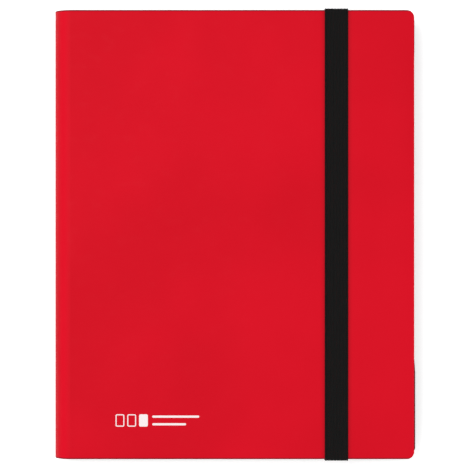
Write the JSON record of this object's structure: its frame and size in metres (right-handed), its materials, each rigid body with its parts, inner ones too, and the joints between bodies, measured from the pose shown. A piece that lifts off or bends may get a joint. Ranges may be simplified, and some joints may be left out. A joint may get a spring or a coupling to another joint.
{
  "type": "trading card binder",
  "caption": "Flexible red binder for collectable cards: side-loading clear pocket leaves bound into a bent cover, held shut by a black elastic strap.",
  "frame": {"origin": "middle of the closed binder's underside, on the back cover's outer face", "axes": "+Z out of the front cover, +Y along the height to the top edge, +X from the spine to the opening edge"},
  "size_m": [0.2454, 0.3082, 0.0253],
  "materials": {
    "red_cover_sheet": "fine matte grain",
    "black_lining": "fine matte grain",
    "black_backing": "satin sheet",
    "clear_film": "clear gloss film",
    "black_elastic": "ribbed woven elastic"
  },
  "bodies": {
    "back_cover": {"back_cover_panel": "red_cover_sheet", "back_cover_bend": "red_cover_sheet", "back_cover_lining": "black_lining", "strap_top_tail": "black_elastic", "strap_bottom_tail": "black_elastic", "strap_top_patch": "black_backing", "strap_bottom_patch": "black_backing"},
    "spine": {"spine_panel": "red_cover_sheet", "spine_lining": "black_lining", "binding_rail": "black_backing", "leaf_margins": "black_backing"},
    "front_cover": {"front_cover_panel": "red_cover_sheet", "front_cover_bend": "red_cover_sheet", "front_cover_lining": "black_lining"},
    "strap": {"strap_band": "black_elastic", "strap_top_loop": "black_elastic", "strap_bottom_loop": "black_elastic"},
    "leaf_01": {"leaf_01_backing": "black_backing", "leaf_01_pockets": "clear_film"},
    "leaf_02": {"leaf_02_backing": "black_backing", "leaf_02_pockets": "clear_film"},
    "leaf_03": {"leaf_03_backing": "black_backing", "leaf_03_pockets": "clear_film"},
    "leaf_04": {"leaf_04_backing": "black_backing", "leaf_04_pockets": "clear_film"},
    "leaf_05": {"leaf_05_backing": "black_backing", "leaf_05_pockets": "clear_film"},
    "leaf_06": {"leaf_06_backing": "black_backing", "leaf_06_pockets": "clear_film"},
    "leaf_07": {"leaf_07_backing": "black_backing", "leaf_07_pockets": "clear_film"},
    "leaf_08": {"leaf_08_backing": "black_backing", "leaf_08_pockets": "clear_film"},
    "leaf_09": {"leaf_09_backing": "black_backing", "leaf_09_pockets": "clear_film"},
    "leaf_10": {"leaf_10_backing": "black_backing", "leaf_10_pockets": "clear_film"},
    "leaf_11": {"leaf_11_backing": "black_backing", "leaf_11_pockets": "clear_film"},
    "leaf_12": {"leaf_12_backing": "black_backing", "leaf_12_pockets": "clear_film"},
    "leaf_13": {"leaf_13_backing": "black_backing", "leaf_13_pockets": "clear_film"},
    "leaf_14": {"leaf_14_backing": "black_backing", "leaf_14_pockets": "clear_film"},
    "leaf_15": {"leaf_15_backing": "black_backing", "leaf_15_pockets": "clear_film"},
    "leaf_16": {"leaf_16_backing": "black_backing", "leaf_16_pockets": "clear_film"},
    "leaf_17": {"leaf_17_backing": "black_backing", "leaf_17_pockets": "clear_film"},
    "leaf_18": {"leaf_18_backing": "black_backing", "leaf_18_pockets": "clear_film"},
    "leaf_19": {"leaf_19_backing": "black_backing", "leaf_19_pockets": "clear_film"},
    "leaf_20": {"leaf_20_backing": "black_backing", "leaf_20_pockets": "clear_film"}
  },
  "joints": [
    {"name": "front_cover_hinge", "type": "hinge", "parent": "spine", "child": "front_cover", "pos_m": [-0.11879, 0, 0.0202], "axis": [0, -1, 0], "range_deg": [0, 90.01]},
    {"name": "spine_hinge", "type": "hinge", "parent": "back_cover", "child": "spine", "pos_m": [-0.11879, 0, 0.00396], "axis": [0, -1, 0], "range_deg": [0, 90]},
    {"name": "leaf_01_crease", "type": "hinge", "parent": "spine", "child": "leaf_01", "pos_m": [-0.11145, 0, 0.02158], "axis": [0, -1, 0], "range_deg": [0, 92.14]},
    {"name": "leaf_02_crease", "type": "hinge", "parent": "spine", "child": "leaf_02", "pos_m": [-0.11045, 0, 0.02058], "axis": [0, -1, 0], "range_deg": [0, 92.14]},
    {"name": "leaf_03_crease", "type": "hinge", "parent": "spine", "child": "leaf_03", "pos_m": [-0.10945, 0, 0.01958], "axis": [0, -1, 0], "range_deg": [0, 92.14]},
    {"name": "leaf_04_crease", "type": "hinge", "parent": "spine", "child": "leaf_04", "pos_m": [-0.10845, 0, 0.01858], "axis": [0, -1, 0], "range_deg": [0, 92.14]},
    {"name": "leaf_05_crease", "type": "hinge", "parent": "spine", "child": "leaf_05", "pos_m": [-0.10745, 0, 0.01758], "axis": [0, -1, 0], "range_deg": [0, 92.14]},
    {"name": "leaf_06_crease", "type": "hinge", "parent": "spine", "child": "leaf_06", "pos_m": [-0.10645, 0, 0.01658], "axis": [0, -1, 0], "range_deg": [0, 92.14]},
    {"name": "leaf_07_crease", "type": "hinge", "parent": "spine", "child": "leaf_07", "pos_m": [-0.10545, 0, 0.01558], "axis": [0, -1, 0], "range_deg": [0, 92.14]},
    {"name": "leaf_08_crease", "type": "hinge", "parent": "spine", "child": "leaf_08", "pos_m": [-0.10445, 0, 0.01458], "axis": [0, -1, 0], "range_deg": [0, 92.14]},
    {"name": "leaf_09_crease", "type": "hinge", "parent": "spine", "child": "leaf_09", "pos_m": [-0.10345, 0, 0.01358], "axis": [0, -1, 0], "range_deg": [0, 92.14]},
    {"name": "leaf_10_crease", "type": "hinge", "parent": "spine", "child": "leaf_10", "pos_m": [-0.10245, 0, 0.01258], "axis": [0, -1, 0], "range_deg": [0, 92.14]},
    {"name": "leaf_11_crease", "type": "hinge", "parent": "spine", "child": "leaf_11", "pos_m": [-0.10245, 0, 0.01158], "axis": [0, -1, 0], "range_deg": [-92.14, 0]},
    {"name": "leaf_12_crease", "type": "hinge", "parent": "spine", "child": "leaf_12", "pos_m": [-0.10345, 0, 0.01058], "axis": [0, -1, 0], "range_deg": [-92.14, 0]},
    {"name": "leaf_13_crease", "type": "hinge", "parent": "spine", "child": "leaf_13", "pos_m": [-0.10445, 0, 0.00958], "axis": [0, -1, 0], "range_deg": [-92.14, 0]},
    {"name": "leaf_14_crease", "type": "hinge", "parent": "spine", "child": "leaf_14", "pos_m": [-0.10545, 0, 0.00858], "axis": [0, -1, 0], "range_deg": [-92.14, 0]},
    {"name": "leaf_15_crease", "type": "hinge", "parent": "spine", "child": "leaf_15", "pos_m": [-0.10645, 0, 0.00758], "axis": [0, -1, 0], "range_deg": [-92.14, 0]},
    {"name": "leaf_16_crease", "type": "hinge", "parent": "spine", "child": "leaf_16", "pos_m": [-0.10745, 0, 0.00658], "axis": [0, -1, 0], "range_deg": [-92.14, 0]},
    {"name": "leaf_17_crease", "type": "hinge", "parent": "spine", "child": "leaf_17", "pos_m": [-0.10845, 0, 0.00558], "axis": [0, -1, 0], "range_deg": [-92.14, 0]},
    {"name": "leaf_18_crease", "type": "hinge", "parent": "spine", "child": "leaf_18", "pos_m": [-0.10945, 0, 0.00458], "axis": [0, -1, 0], "range_deg": [-92.14, 0]},
    {"name": "leaf_19_crease", "type": "hinge", "parent": "spine", "child": "leaf_19", "pos_m": [-0.11045, 0, 0.00358], "axis": [0, -1, 0], "range_deg": [-92.14, 0]},
    {"name": "leaf_20_crease", "type": "hinge", "parent": "spine", "child": "leaf_20", "pos_m": [-0.11145, 0, 0.00258], "axis": [0, -1, 0], "range_deg": [-92.14, 0]},
    {"name": "strap_slide", "type": "slide", "parent": "back_cover", "child": "strap", "axis": [0, 0, -1], "range_m": [0, 0.02537], "deforming": ["strap_band", "strap_top_loop", "strap_bottom_loop"]}
  ],
  "couplings": [
    {"joint": "front_cover_hinge", "follows": "spine_hinge", "ratio": 1},
    {"joint": "leaf_01_crease", "follows": "spine_hinge", "ratio": 1.0237},
    {"joint": "leaf_02_crease", "follows": "spine_hinge", "ratio": 1.0237},
    {"joint": "leaf_03_crease", "follows": "spine_hinge", "ratio": 1.0237},
    {"joint": "leaf_04_crease", "follows": "spine_hinge", "ratio": 1.0237},
    {"joint": "leaf_05_crease", "follows": "spine_hinge", "ratio": 1.0237},
    {"joint": "leaf_06_crease", "follows": "spine_hinge", "ratio": 1.0237},
    {"joint": "leaf_07_crease", "follows": "spine_hinge", "ratio": 1.0237},
    {"joint": "leaf_08_crease", "follows": "spine_hinge", "ratio": 1.0237},
    {"joint": "leaf_09_crease", "follows": "spine_hinge", "ratio": 1.0237},
    {"joint": "leaf_10_crease", "follows": "spine_hinge", "ratio": 1.0237},
    {"joint": "leaf_11_crease", "follows": "spine_hinge", "ratio": -1.0237},
    {"joint": "leaf_12_crease", "follows": "spine_hinge", "ratio": -1.0237},
    {"joint": "leaf_13_crease", "follows": "spine_hinge", "ratio": -1.0237},
    {"joint": "leaf_14_crease", "follows": "spine_hinge", "ratio": -1.0237},
    {"joint": "leaf_15_crease", "follows": "spine_hinge", "ratio": -1.0237},
    {"joint": "leaf_16_crease", "follows": "spine_hinge", "ratio": -1.0237},
    {"joint": "leaf_17_crease", "follows": "spine_hinge", "ratio": -1.0237},
    {"joint": "leaf_18_crease", "follows": "spine_hinge", "ratio": -1.0237},
    {"joint": "leaf_19_crease", "follows": "spine_hinge", "ratio": -1.0237},
    {"joint": "leaf_20_crease", "follows": "spine_hinge", "ratio": -1.0237},
    {"joint": "strap_slide", "follows": "spine_hinge", "m_per_rad": 0.016145}
  ]
}
